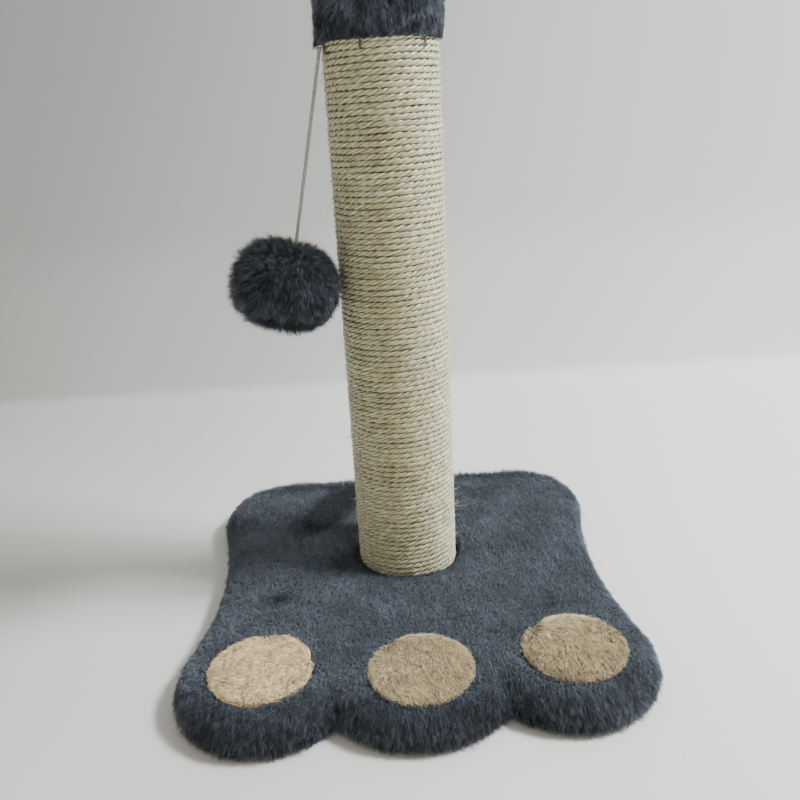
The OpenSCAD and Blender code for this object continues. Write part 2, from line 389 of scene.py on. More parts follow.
def make_camera():
    data = bpy.data.cameras.new("camera")
    data.lens = data.sensor_width = 36
    data.clip_start = 0.01
    camera = bpy.data.objects.new("camera", data)
    bpy.context.scene.collection.objects.link(camera)
    turn = Matrix.Rotation(YAW, 4, "Z") @ Matrix.Rotation(-PITCH_DOWN, 4, "X") @ Matrix.Rotation(ROLL, 4, "Y")
    upright = Matrix.Rotation(math.pi / 2, 4, "X")
    camera.matrix_world = Matrix.Translation(CAMERA_AT) @ turn @ upright
    bpy.context.scene.camera = camera


make_camera()


# ======== cord and knots
def make_cord():
    """Thin braided elastic cord, held straight by the weight of the ball."""
    route = np.array(CORD_ROUTE) / MM
    rings = 150
    along = np.linspace(0, len(route) - 1, rings)
    path = np.stack([np.interp(along, range(len(route)), route[:, k]) for k in range(3)], 1)
    sides, plaits = 16, 4
    angle, ring = np.arange(sides) * TAU / sides, np.arange(rings)[:, None]
    braid = np.sin(plaits * angle + ring * 0.9) * np.sin(plaits * angle - ring * 0.9)
    verts, faces = tube(path, CORD_R * (1 + 0.06 * braid), sides)
    piece = mesh_piece("elastic_cord", verts, faces, CORD, body=None, slot="cord_grey")
    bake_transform(piece)
    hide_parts("toy_cord")
    return piece, [tuple(float(x) for x in p * MM) for p in path]


def knot_shape(centre, axis, radius, wire):
    """An overhand knot pulled tight: a small trefoil of cord."""
    t = np.linspace(0, TAU, 73)
    a = unit(np.cross(axis, [0.2, 1.0, 0.1]))
    b = np.cross(axis, a)
    across = (np.sin(t) + 2 * np.sin(2 * t))[:, None] * a + (np.cos(t) - 2 * np.cos(2 * t))[:, None] * b
    path = centre + (radius - wire) / 3 * (across - np.sin(3 * t)[:, None] * axis)
    return tube(path, wire, 10)


cord_piece, cord_path = make_cord()
upper_knot = mesh_piece(
    "tied_upper_knot", *knot_shape(np.array(CORD_ROUTE[0]) / MM, np.array([0.0, 0.3, 1.0]), 1.8, 0.65),
    CORD, "upper_knot", "cord_grey")
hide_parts("cord_top_knot")


# ======== plush pile
def scatter(verts, faces, density, rng):
    """Random points on a surface, density per square millimetre, with their normals."""
    tris = as_triangles(faces)
    a, b, c = (verts[tris[:, k]] for k in range(3))
    area = np.linalg.norm(np.cross(b - a, c - a), axis=1) / 2
    count = int(area.sum() * density)
    pick = rng.choice(len(tris), count, p=area / area.sum())
    u, v = rng.random((2, count))
    u, v = np.where(u + v > 1, 1 - u, u), np.where(u + v > 1, 1 - v, v)
    share = np.stack([1 - u - v, u, v], 1)[:, :, None]
    normals = vertex_normals(verts, tris)
    return (verts[tris[pick]] * share).sum(1), unit((normals[tris[pick]] * share).sum(1))


def drawn_out(angle, share):
    """Matrix that shortens lengths along one way on the flat, so tufts come out long that way."""
    way = np.array([math.cos(angle), math.sin(angle), 0])
    return np.eye(3) - (1 - share) * np.outer(way, way)


def tuft_leaders(roots, spacing, density, rng):
    """For each hair, the index of the hair that its tuft gathers round."""
    count = max(1, int(len(roots) / (density * spacing**2)))
    leaders = rng.choice(len(roots), count, replace=False)
    tree = kdtree.KDTree(count)
    for i, k in enumerate(leaders):
        tree.insert(roots[k], i)
    tree.balance()
    return leaders[[tree.find(p)[1] for p in roots]]


# A hair is a root ring (0-2), a middle ring (3-5) and a tip (6)
HAIR_QUADS = np.array([[0, 1, 4, 3], [1, 2, 5, 4], [2, 0, 3, 5]])
HAIR_TRIS = np.array([[3, 4, 6], [4, 5, 6], [5, 3, 6], [2, 1, 0]])
HAIR_U = np.array([0.15, 0.5, 0.85, 0.15, 0.5, 0.85, 0.5])
HAIR_V = np.array([0.1, 0.1, 0.1, 0.5, 0.5, 0.5, 0.9])
MAX_HAIRS = 19900


def hairs(name, roots, normals, density, rng, material, slot, body=ROOT, nap=None, lean=0.7,
          length=10.0, radius=0.15, spacing=2.5, grain=np.eye(3), pull=0.5, stray=0.16, tone=0.0,
          mixed=1.0, keep_off=None):
    """Hair on a skin, in pieces of at most MAX_HAIRS. nap is the way it lies and lean its angle from
    upright; spacing, grain (a matrix that shortens them one way) and pull shape the tufts; mixed is
    how much their tones differ; keep_off(points) moves tips that would reach too far."""
    n = len(roots)
    nap = unit(nap - normals * dot(nap, normals))
    lean = (lean + stray * rng.normal(size=n))[:, None]
    swing = (1.5 * stray * rng.normal(size=n))[:, None]
    way = nap * np.cos(swing) + np.cross(normals, nap) * np.sin(swing)
    half = (length * rng.uniform(0.8, 1.1, n))[:, None] / 2
    base = roots - normals * 0.5
    middle = roots + (normals * np.cos(lean * 0.6) + way * np.sin(lean * 0.6)) * half
    tip = middle + (normals * np.cos(lean * 1.35) + way * np.sin(lean * 1.35)) * half
    leader = tuft_leaders(roots @ grain, spacing, density, rng)
    gather = (pull * rng.uniform(0.3, 1.0, n))[:, None]
    tip = tip + (tip[leader] - tip) * gather
    middle = middle + (middle[leader] - middle) * gather * 0.4
    if keep_off:
        tip, middle = keep_off(tip), keep_off(middle)
    run = unit(tip - base)
    a = unit(np.cross(run, rng.normal(size=(n, 3))))
    b = np.cross(run, a)
    thick = (radius * rng.uniform(0.75, 1.2, n))[:, None]
    verts = np.empty((n, 7, 3))
    for k in range(3):
        ring = (a * math.cos(TAU * k / 3) + b * math.sin(TAU * k / 3)) * thick
        verts[:, k] = base + ring
        verts[:, 3 + k] = middle + ring * 0.8
    verts[:, 6] = tip
    own = rng.normal(0, 0.10, n) + rng.normal(0, 0.13, n)[leader]
    own = np.clip(0.5 + tone + mixed * own, 0, 1)
    order = rng.permutation(n)
    parts = math.ceil(n / MAX_HAIRS)
    shares = [order[k::parts] for k in range(parts)]
    return [hair_piece(f"{name}_{k + 1:02d}", verts[share], own[share], material, body, slot)
            for k, share in enumerate(shares)]


def hair_piece(name, verts, tone, material, body, slot):
    """One piece of pile, each hair with a cell of its own in the bake's layout."""
    n = len(verts)
    start = (np.arange(n) * 7)[:, None, None]
    quads = (HAIR_QUADS + start).reshape(-1, 4)
    tris = (HAIR_TRIS + start).reshape(-1, 3)
    side = math.ceil(math.sqrt(n))
    cell = np.stack([np.arange(n) % side, np.arange(n) // side], 1)[:, None]
    uv = ((cell + np.stack([HAIR_U, HAIR_V], 1)) / side).reshape(-1, 2)
    corners = np.concatenate([quads.ravel(), tris.ravel()])
    return mesh_piece(name, verts.reshape(-1, 3), [quads, tris], material, body, slot,
                      {"along": np.tile(HAIR_V, n), "tone": np.repeat(tone, 7)}, {"OFBake": uv[corners]})


# ======== base
def arc(centre, radius, start, stop, count):
    """Points on an arc, without its last one. start and stop are angles or points it runs between."""
    def angle(x):
        return x if np.isscalar(x) else bearing(x - centre) % TAU
    a = np.linspace(angle(start), angle(stop), count, endpoint=False)
    return centre + radius * np.stack([np.cos(a), np.sin(a)], 1)


def circles_meet(c1, r1, c2, r2):
    """Where two circles cross, on the right of the way from the first centre to the second."""
    span = np.linalg.norm(c2 - c1)
    e = (c2 - c1) / span
    along = (r1**2 - r2**2 + span**2) / (2 * span)
    return c1 + along * e + math.sqrt(r1**2 - along**2) * np.array([e[1], -e[0]])


# Further in than this, the circles of neighbouring toes no longer meet
TOES_PART = -4.0
WAIST_C = circles_meet(TOE_C, WAIST_R + TOE_R, REAR_C, WAIST_R + REAR_R)


def paw(o):
    """Outline of the paw, o outside the edge of the board, anticlockwise from the middle toe."""
    if o < TOES_PART:
        loop = paw(TOES_PART)
        along = unit(np.roll(loop, -1, axis=0) - np.roll(loop, 1, axis=0))
        return loop + (o - TOES_PART) * np.column_stack([along[:, 1], -along[:, 0]])
    notch = circles_meet(MID_C, MID_R + o, TOE_C, TOE_R + o)
    back = REAR_C[1] + REAR_R + o
    right = np.concatenate([
        arc(MID_C, MID_R + o, -math.pi / 2 + TAU, notch, 22),
        arc(TOE_C, TOE_R + o, bearing(notch - TOE_C), bearing(WAIST_C - TOE_C), 60),
        arc(WAIST_C, WAIST_R - o, TOE_C, REAR_C, 56),
        arc(REAR_C, REAR_R + o, bearing(WAIST_C - REAR_C), math.pi / 2, 32),
        np.stack([np.linspace(REAR_C[0], 0, 34), np.full(34, back)], 1)])
    left = right[1:-1][::-1] * [-1, 1]
    return np.concatenate([right, left])


def circle(centre, radius, count):
    a = np.arange(count) * TAU / count
    return np.asarray(centre)[:2] + radius * np.stack([np.cos(a), np.sin(a)], 1)


# Section of the cover over the board's edge and under it: distance outside the board, and height
COVER_SECTION = [(-10, 19.4), (-6.5, 19.2), (-3.5, 18.5), (-1, 17.3), (1.4, 15.6), (3.2, 13.6), (4.4, 11.3),
                 (4.9, 9), (4.9, 6.8), (4.3, 4.8), (3.2, 3.2), (1.6, 2), (-0.5, 1.3), (-4, 1.05), (-12, 0.95),
                 (-20, 0.95)]


def pad_centre(side):
    return (PADS[side][0] + PADS[side][1])[:2] / 2 + [-0.3, 1.3]


def pad_radius(side):
    """Radius of the pad that shows; the pile round it covers its edge."""
    return (PADS[side][1] - PADS[side][0])[0] / 2 - 1.5


HOLE_SIDES = 72
HOLES = [(POST + [1.3, 0.6], POST_HOLE_R)] + [(pad_centre(s), pad_radius(s) + 0.3) for s in PADS]


def inside(points, loop):
    """Which points lie inside a closed outline."""
    a, b = loop, np.roll(loop, -1, axis=0)
    x, y = points[:, 0:1], points[:, 1:2]
    crosses = (a[:, 1] > y) != (b[:, 1] > y)
    with np.errstate(divide="ignore", invalid="ignore"):
        at = a[:, 0] + (y - a[:, 1]) * (b[:, 0] - a[:, 0]) / (b[:, 1] - a[:, 1])
    return (crosses & (x < at)).sum(1) % 2 == 1


def fuller(xy):
    """The plush stands a little fuller round the left toe and at the back."""
    off = xy - [-TOE_C[0], TOE_C[1]]
    far = np.linalg.norm(off, axis=1, keepdims=True)
    near = np.exp(-(((far - TOE_R) / 14) ** 2)) * np.clip(-off[:, :1] / TOE_R + 0.3, 0, 1)
    back = np.clip((xy[:, 1:] - 110) / 20, 0, 1) * [0, 1]
    return xy + off / far * 2.2 * near + 3.0 * back


def top_relief(xy):
    """Height of the flat top's gentle unevenness, drawn down at the seams round the holes."""
    height = 0.35 * waves(xy, 60, 11)
    for centre, radius in HOLES[1:]:
        away = np.abs(distance(xy, centre) - radius)
        height = height - 1.6 * np.exp(-away / 1.8)
    return np.minimum(height, 0.6)


def fill_flat(rim, holes, step, room):
    """Triangles on the flat between a rim and round holes, over rows of points step apart inside room.
    Gives the points, the triangles, and for each point of the rim and of the holes its number in points."""
    x, y = np.meshgrid(np.arange(-140, 141, step), np.arange(-150, 151, step))
    grid = np.stack([x.ravel() + (y.ravel() / step % 2) * step / 2, y.ravel()], 1)
    fits = inside(grid, room)
    for centre, radius in holes:
        fits &= distance(grid, centre) > radius + 2
    loops = [rim] + [circle(centre, radius, HOLE_SIDES) for centre, radius in holes]
    edges, start = [], 0
    for loop in loops:
        edges += [(start + k, start + (k + 1) % len(loop)) for k in range(len(loop))]
        start += len(loop)
    flat = np.concatenate([*loops, grid[fits]])
    points, _, faces, source, _, _ = geometry.delaunay_2d_cdt([tuple(p) for p in flat], edges, [], 0, 1e-5)
    points = np.array(points)
    tris = np.array([f for f in faces if len(f) == 3])
    middle = points[tris].mean(1)
    wanted = inside(middle, rim)
    for centre, radius in holes:
        wanted &= distance(middle, centre) > radius * 0.999
    tris = tris[wanted]
    area = np.cross(points[tris[:, 1]] - points[tris[:, 0]], points[tris[:, 2]] - points[tris[:, 0]])
    tris[area < 0] = tris[area < 0][:, ::-1]
    number = {s[0]: k for k, s in enumerate(source) if s}
    return points, tris, np.array([number[k] for k in range(start)])


def cover_skin():
    """Plush cover: flat top with holes for the post and the pads, turned over the board's edge."""
    # the section is drawn for 4 mm of underpile, and its upper part rises with the rest
    rings = [at_height(fuller(paw(o)), z + (UNDERPILE - 4) * (z > 15)) for o, z in COVER_SECTION]
    cols = len(rings[0])
    swept = np.concatenate(rings)
    points, tris, number = fill_flat(rings[0][:, :2], HOLES, 5.0, paw(COVER_SECTION[0][0] - 3))
    # the rim's points are the sweep's first ring, and the others follow the sweep
    place = len(swept) + np.arange(len(points))
    place[number[:cols]] = np.arange(cols)
    top = np.column_stack([points, SKIN_TOP + top_relief(points)])
    # the skin turns down beside the post and in under the rope
    middle = HOLES[0][0]
    wall = [at_height(circle(centre, radius, HOLE_SIDES), BOARD_TOP + z)
            for centre, radius, z in [(middle, POST_HOLE_R - 0.1, 1.2), (middle, POST_HOLE_R - 0.4, 0.4),
                                      (POST, ROPE_OUT - 2.5, 0.2)]]
    verts = np.concatenate([swept, top, *wall])
    mouth = place[number[cols:cols + HOLE_SIDES]]
    wall_points = np.concatenate([mouth, len(swept) + len(top) + np.arange(len(wall) * HOLE_SIDES)])
    wall_faces = wall_points[grid_faces(len(wall) + 1, HOLE_SIDES)]
    return drop_unused(verts, [grid_faces(len(rings), cols)[:, ::-1], place[tris], wall_faces[:, ::-1]])


def drop_unused(verts, faces):
    """Without the vertices that no face has."""
    used = np.unique(np.concatenate([f.ravel() for f in faces]))
    new = np.full(len(verts), -1)
    new[used] = np.arange(len(used))
    return verts[used], [new[f] for f in faces]


def outward(points, centre, least):
    """Points moved straight out of a circle, seen from above."""
    off = points[:, :2] - centre
    far = np.linalg.norm(off, axis=1)
    moved = points.copy()
    low = far < least
    moved[low, :2] = centre + off[low] / np.maximum(far[low], 1e-6)[:, None] * least
    return moved


def keep_base_hair_off(points):
    """Blue hair stops at the rope and at the pads, and lies on the floor, not in it."""
    points = outward(points, POST, ROPE_OUT + 0.4)
    for side in PADS:
        points = outward(points, pad_centre(side), pad_radius(side) - 0.3)
    points[:, 2] = np.maximum(points[:, 2], 0.25)
    return points


# Places where the pile is stroked the wrong way and looks dark, and one place of painted light: middle, half
# lengths, turn, depth
# The entry with a depth below zero is painted light: it lifts the pile inside the post's cast shadow
BRUSHED_AND_PAINTED_LIGHT = [((-90, -27), (10, 7), 20, 0.42), ((-59, 97), (40, 16), 63, 1.10), ((-84, 45), (42, 32), 0, -0.26),
           ((92, 20), (30, 10), -25, 0.10), ((46, 100), (34, 5), 12, 0.10), ((-20, -72), (22, 4), 5, 0.08),
           ((28, -60), (30, 1.6), 7, 0.16), ((80, -54.5), (28, 1.6), 5, 0.14),
           ((-58, -150), (16, 10), 60, 0.12), ((56, -140), (12, 14), -10, 0.12)]


def brushed_and_painted_light(roots):
    """How dark each hair's base is made: marks where the pile is stroked the wrong way, and below zero
    painted light that lifts the pile inside the post's cast shadow.
    """
    depth = np.zeros(len(roots))
    for middle, halves, turn, amount in BRUSHED_AND_PAINTED_LIGHT:
        off = roots[:, :2] - middle
        c, s = math.cos(math.radians(turn)), math.sin(math.radians(turn))
        u, v = (off[:, 0] * c + off[:, 1] * s) / halves[0], (off[:, 1] * c - off[:, 0] * s) / halves[1]
        depth += amount * np.exp(-(u**2 + v**2) ** 1.5)
    return depth


def front_of_toes(roots):
    """From 0 on top to 1 at the front of the toes, where the pile is painted darker as shade."""
    depth, ahead = np.full(len(roots), 1e3), np.zeros(len(roots))
    for centre, radius in [(MID_C, MID_R), (TOE_C, TOE_R), (TOE_C * [-1, 1], TOE_R)]:
        off = roots[:, :2] - centre
        far = np.linalg.norm(off, axis=1)
        nearer = far - radius < depth
        depth = np.where(nearer, far - radius, depth)
        ahead = np.where(nearer, -off[:, 1] / np.maximum(far, 1), ahead)
    return np.clip((depth + 15) / 13, 0, 1) * np.clip(ahead * 1.6 - 0.25, 0, 1)


def base_nap(roots, side):
    """The pile is stroked to the front on top, and down the sides."""
    flat = roots[:, :2]
    turn = 0.22 * waves(flat, 80, 21) + 0.14 * waves(flat, 22, 22) + 3.0 * np.minimum(brushed_and_painted_light(roots), 0.6)
    nap = np.stack([np.sin(turn), -np.cos(turn), np.zeros(len(roots))], 1)
    return unit(nap * (1 - 0.6 * side[:, None]) + side[:, None] * np.array([0, 0, -1.0]))


def make_cover():
    rng = np.random.default_rng(1)
    verts, faces = cover_skin()
    skin = mesh_piece("plush_cover", verts, faces, BLUE_BACK, slot="plush_blue")
    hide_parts("base_cover")
    density = 2.4
    roots, normals = scatter(verts, faces, density, rng)
    in_hole = distance(roots, HOLES[0][0]) < POST_HOLE_R - 0.05
    outer = (roots[:, 2] > 1.3) & (normals[:, 2] > -0.85) & ~(in_hole & (roots[:, 2] < SKIN_TOP - 2))
    roots, normals = roots[outer], normals[outer]
    side = np.clip(1 - normals[:, 2], 0, 1)
    near_post = np.exp(-np.maximum(distance(roots, POST) - ROPE_OUT - 1, 0) / 3)
    normals = unit(normals + near_post[:, None] * [0, 0, 2.0])
    toe_front_shade = 0.32 * front_of_toes(roots) * (1 - 0.35 * (roots[:, 0] > 48))
    # The tone is painted shade in places: darker down the sides, at the front of the toes (less on the right
    # toe) and next to the rope
    tone = (0.06 * waves(roots, 40, 31) + 0.045 * waves(roots * [1, 0.4, 1], 8, 32)
            - 0.10 * side - toe_front_shade - brushed_and_painted_light(roots) - 0.12 * near_post)
    back = np.clip((roots[:, 1] - 128) / 8, 0, 1)
    edge = np.clip(side * 4 + back, 0, 1)
    lean = 1.15 - 0.45 * side - 0.25 * back - 0.7 * near_post + 0.07 * waves(roots[:, :2], 35, 33)
    length = 6.2 + 0.8 * side - 1.5 * near_post + 1.1 * edge * waves(roots, 5, 34)
    pile = hairs("plush_cover_pile", roots, normals, density, rng, BLUE, "plush_blue",
                 nap=base_nap(roots, side), lean=lean, length=length, radius=0.11, spacing=1.8,
                 grain=drawn_out(math.pi / 2, 0.25), pull=0.25 + 0.35 * edge, stray=0.11 + 0.05 * edge,
                 tone=tone, mixed=0.7, keep_off=keep_base_hair_off)


make_cover()


# The way each pad's hair is stroked, in degrees, how pale it is and how streaky
PAD_STROKE = {"left": (-118, 0.27, 1.4), "middle": (-80, 0.02, 0.6), "right": (-100, -0.02, 0.9)}


def make_pad(side, seed):
    """Round cream plush pad let into the cover, its hair stroked in whorls."""
    rng = np.random.default_rng(seed)
    centre, radius = pad_centre(side), pad_radius(side)
    stroke, pale, streaky = PAD_STROKE[side]
    sizes = np.array([0.02, 0.15, 0.3, 0.45, 0.6, 0.75, 0.88, 0.96, 1.0]) * radius
    height = SKIN_TOP + 2.2 - 2.2 * (sizes / radius) ** 6
    verts = np.concatenate([at_height(circle(centre, r, HOLE_SIDES), h) for r, h in zip(sizes, height)])
    faces = [grid_faces(len(sizes), HOLE_SIDES), np.arange(HOLE_SIDES)[None]]
    skin = mesh_piece(f"toe_pad_{side}_back", verts, faces, CREAM_BACK, slot="plush_cream")
    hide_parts(f"toe_pad_{side}")
    density = 3.2
    roots, normals = scatter(verts, faces, density, rng)
    normals[normals[:, 2] < 0] *= -1
    flat = roots[:, :2]
    turn = math.radians(stroke) + 0.7 * waves(flat, 50, seed + 1) + 0.15 * waves(flat, 12, seed + 3)
    nap = heading(turn)
    away = distance(roots, centre)
    rim = np.clip((away - radius + 5) / 5, 0, 1)
    nap[:, :2] += (rim / away)[:, None] * (flat - centre)
    reach = radius + rng.uniform(-1.0, 1.8, len(roots)) + 1.5 * (rng.random(len(roots)) < 0.04)

    def keep_in(points):
        off = points[:, :2] - centre
        far = np.linalg.norm(off, axis=1)
        moved = points.copy()
        wide = far > reach
        moved[wide, :2] = centre + off[wide] * (reach / far)[wide, None]
        return moved

    tone = pale + 0.05 * waves(roots, 14, seed + 2) + 0.06 * rim
    pile = hairs(f"toe_pad_{side}_pile", roots, normals, density, rng, CREAM, "plush_cream", nap=nap,
                 lean=1.15 - 0.25 * rim, length=8.0, radius=0.13, spacing=1.5,
                 grain=drawn_out(math.radians(stroke), 0.25), pull=0.15 + 0.3 * rim, stray=0.11, tone=tone,
                 mixed=streaky, keep_off=keep_in)


for number, pad in enumerate(PADS):
    make_pad(pad, 40 + 10 * number)


def make_backing():
    """Thin felt under the base, stepped up inside the turned-under edge, with a hole for the bolt."""
    thick, bolt_hole = 0.8, 13.5
    section = [(-8, 0.02), (-21.5, 0.02), (-23, 0.5), (-24.5, 1.5), (-30, 1.55)]
    rings = [at_height(paw(o), z) for o, z in section]
    cols = len(rings[0])
    swept = np.concatenate(rings)
    points, tris, number = fill_flat(rings[-1][:, :2], [(POST, bolt_hole)], 8.0, paw(section[-1][0] - 3))
    place = len(swept) + np.arange(len(points))
    place[number[:cols]] = len(swept) - cols + np.arange(cols)
    under = np.concatenate([swept, at_height(points, section[-1][1])])
    under[:, 2] = np.maximum(under[:, 2] + 0.03 * waves(under, 14, 51), 0)
    count = len(under)

    def wall(loop):
        ahead = np.roll(loop, -1)
        return np.stack([loop, ahead, ahead + count, loop + count], 1)

    below = [grid_faces(len(rings), cols)[:, ::-1], place[tris][:, ::-1]]
    above = [f[:, ::-1] + count for f in below]
    faces = [*below, *above, wall(np.arange(cols)), wall(place[number[cols:]])[:, ::-1]]
    verts, faces = drop_unused(np.concatenate([under, under + [0, 0, thick]]), faces)
    piece = mesh_piece("felt_backing", verts, faces, felt_material(), slot="backing_felt")
    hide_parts("base_backing")


make_backing()


# ======== sisal rope
def make_rope():
    """Three-strand rope wound round the tube; each strand is one piece from the base to the collar."""
    low, high = BOARD_TOP + ROPE_R, COLLAR_LO[2] + 1.5
    step = 1.55
    off_out, off_up, strand_out, strand_up = 0.78, 0.93, 0.97, 0.98
    lay_length = 15.5
    middle_r = TUBE_R + ROPE_R
    rings = int(ROPE_TURNS * TAU * middle_r / step)
    turn = np.linspace(0, ROPE_TURNS * TAU, rings)
    place = np.stack([np.cos(turn) * 30, np.sin(turn) * 30, turn * 2], 1)
    z = low + (high - low) * turn / turn[-1] + 0.2 * waves(place, 60, 61) + 0.17 * waves(place, 22, 62)
    radius = middle_r + 0.12 * waves(place, 40, 63) + 0.11 * waves(place, 12, 69) - 0.05
    out = heading(turn)
    up = np.array([0.0, 0.0, 1.0])
    middle = np.column_stack([POST + out[:, :2] * radius[:, None], z])
    lay = TAU / lay_length * step * np.arange(rings) + 1.3 * waves(place, 90, 64) + 0.6 * waves(place, 25, 70)
    # A brownish darker band down the front of the rope: partly wear and partly painted shade, where the
    # window light falls off
    wear_and_front_shade = np.exp(-((np.cos(turn) + 0.1) / 0.42) ** 2) * (np.sin(turn) < 0)
    wear_and_front_shade = np.clip(wear_and_front_shade * (0.75 + 0.5 * waves(place, 35, 71)), 0, 1)
    sides = 7
    angle = np.arange(sides) * TAU / sides
    for strand in range(3):
        phase = lay + strand * TAU / 3
        centre = middle + off_out * np.cos(phase)[:, None] * out + off_up * np.sin(phase)[:, None] * up
        ring = (strand_out * np.cos(phase[:, None] + angle)[..., None] * out[:, None]
                + strand_up * np.sin(phase[:, None] + angle)[..., None] * up)
        fat = 1 + 0.11 * waves(place + 100 * strand, 9, 65 + strand)
        verts = (centre[:, None] + ring * fat[:, None, None]).reshape(-1, 3)
        # depth is low deep between the strands and high on their outermost parts; the material paints shade
        # where it is low and light where it is high
        depth = (distance(verts, POST) - middle_r - 0.2) / 1.45
        looks = {"depth": np.clip(depth, 0, 1), "wear_and_front_shade": np.repeat(wear_and_front_shade, sides)}
        faces = [f[:, ::-1] for f in (grid_faces(rings, sides), end_faces(rings, sides))]
        uvs = rope_layers(rings, sides, step)
        mesh_piece(f"sisal_strand_{strand + 1}", verts, faces, SISAL, slot="sisal",
                                 attributes=looks, uvs=uvs)
    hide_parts("sisal_rope")
    return middle


def rope_layers(rings, sides, step):
    """UV layers of a strand: its fibres, in millimetres, and the bake's rows, one for every turn."""
    r, c = np.meshgrid(np.arange(rings - 1), np.arange(sides), indexing="ij")
    r, c = r.ravel(), c.ravel()
    quad_r = np.stack([r + 1, r + 1, r, r], 1)
    quad_c = np.stack([c, c + 1, c + 1, c], 1)
    fibre = np.stack([quad_r * step, quad_c / sides], -1).reshape(-1, 2)
    per_row = math.ceil((rings - 1) / ROPE_TURNS)
    rows = math.ceil((rings - 1) / per_row)
    row = (r // per_row)[:, None]
    bake = np.stack([(quad_r - row * per_row) / per_row, (row + 0.1 + 0.8 * quad_c / sides) / rows], -1)
    ends = np.zeros((2 * sides, 2))
    return {"fibre": np.concatenate([fibre, ends]), "OFBake": np.concatenate([bake.reshape(-1, 2), ends])}


def curved_fibres(roots, out, rng, lengths, radius):
    """Thin fibres that lift off the rope and curl back, as vertices and faces."""
    n, rings, sides = len(roots), 7, 3
    t = np.linspace(0, 1, rings)[None, :, None]
    along = unit(np.cross([0, 0, 1.0], out) + rng.normal(0, 0.45, (n, 3)))
    lift = rng.uniform(0.15, 0.75, (n, 1))[:, None] * lengths[:, None, None]
    curl = rng.normal(0, 0.5, (n, 3))[:, None] * lengths[:, None, None]
    path = roots[:, None] + along[:, None] * lengths[:, None, None] * t
    path = path + out[:, None] * lift * (t - 0.75 * t**2) + curl * t**2 * (1 - 0.4 * t)
    tangent = unit(np.gradient(path, axis=1))
    a = unit(np.cross(tangent, unit(rng.normal(size=(n, 1, 3)))))
    b = np.cross(tangent, a)
    thick = radius * (1 - 0.7 * t)
    verts = np.stack([path + (a * math.cos(TAU * k / sides) + b * math.sin(TAU * k / sides)) * thick
                      for k in range(sides)], 2)
    start = (np.arange(n) * rings * sides)[:, None, None]
    quads = (grid_faces(rings, sides) + start).reshape(-1, 4)
    caps = (end_faces(rings, sides) + start).reshape(-1, sides)
    return verts.reshape(-1, 3), [quads, caps]


def make_loose_fibres():
    """Broken sisal fibres: long ones that stand off the rope, and a fine fuzz all over it."""
    rng = np.random.default_rng(7)
    for name, count, shortest, longest, radius in [("sisal_loose_fibres", 600, 3, 15, 0.14),
                                                   ("sisal_fuzz", 5200, 1.2, 4.5, 0.08)]:
        angle = rng.uniform(0, TAU, count)
        out = heading(angle)
        height = rng.uniform(ROPE_LO[2] + 4, COLLAR_LO[2] - 12, count)
        roots = np.column_stack([POST + out[:, :2] * (ROPE_OUT - 0.4), height])
        lengths = shortest + (longest - shortest) * rng.random(count) ** 2
        verts, faces = curved_fibres(roots, out, rng, lengths, radius)
        mesh_piece(name, verts, faces, loose_fibre_material(), slot="sisal")


make_rope()
make_loose_fibres()


# ======== collar and cap
TOY_ANGLE = bearing(np.array(CORD_ROUTE[0])[:2] / MM - POST)


def away_from_toy(angle):
    """Distance from the cord's end, going round the tube."""
    return np.abs((angle - TOY_ANGLE + math.pi) % TAU - math.pi) * TUBE_R


def collar_radius(z, angle):
    """Radius of the collar's fabric: it rides over the last turn of rope and over the cord's end."""
    over_rope = 2.2 * np.exp(-np.maximum(z - COLLAR_LO[2], 0) / 3.5)
    over_cord = 1.8 * np.exp(-(away_from_toy(angle) / 4) ** 2) * np.clip((COLLAR_LO[2] + 16 - z) / 10, 0, 1)
    return TUBE_R + FABRIC + 0.3 + np.maximum(over_rope, over_cord)


def around_post(angle, radius, z):
    return np.stack([POST[0] + radius * np.cos(angle), POST[1] + radius * np.sin(angle), z + 0 * angle], -1)


def keep_below_cap(points):
    """The pile keeps the shape of the collar: narrow at its lower edge, fuller above, flat on top."""
    points = points.copy()
    off = points[:, :2] - POST
    far = np.linalg.norm(off, axis=1)
    away = away_from_toy(np.arctan2(off[:, 1], off[:, 0]))
    hem = COLLAR_LO[2] + 0.3 - 4.5 * np.exp(-(away / 5) ** 2)
    points[:, 2] = np.clip(points[:, 2], hem, CAP_TOP + 0.3)
    most = ROPE_OUT + 3.9 * np.clip((points[:, 2] - COLLAR_LO[2]) / 12, 0, 1)
    most = np.maximum(most, ROPE_OUT + 6 * np.exp(-(away / 6) ** 2))
    wide = far > most
    excess = (far - most)[wide]
    points[wide, :2] = POST + off[wide] * ((most[wide] + 0.2 * excess) / far[wide])[:, None]
    return points


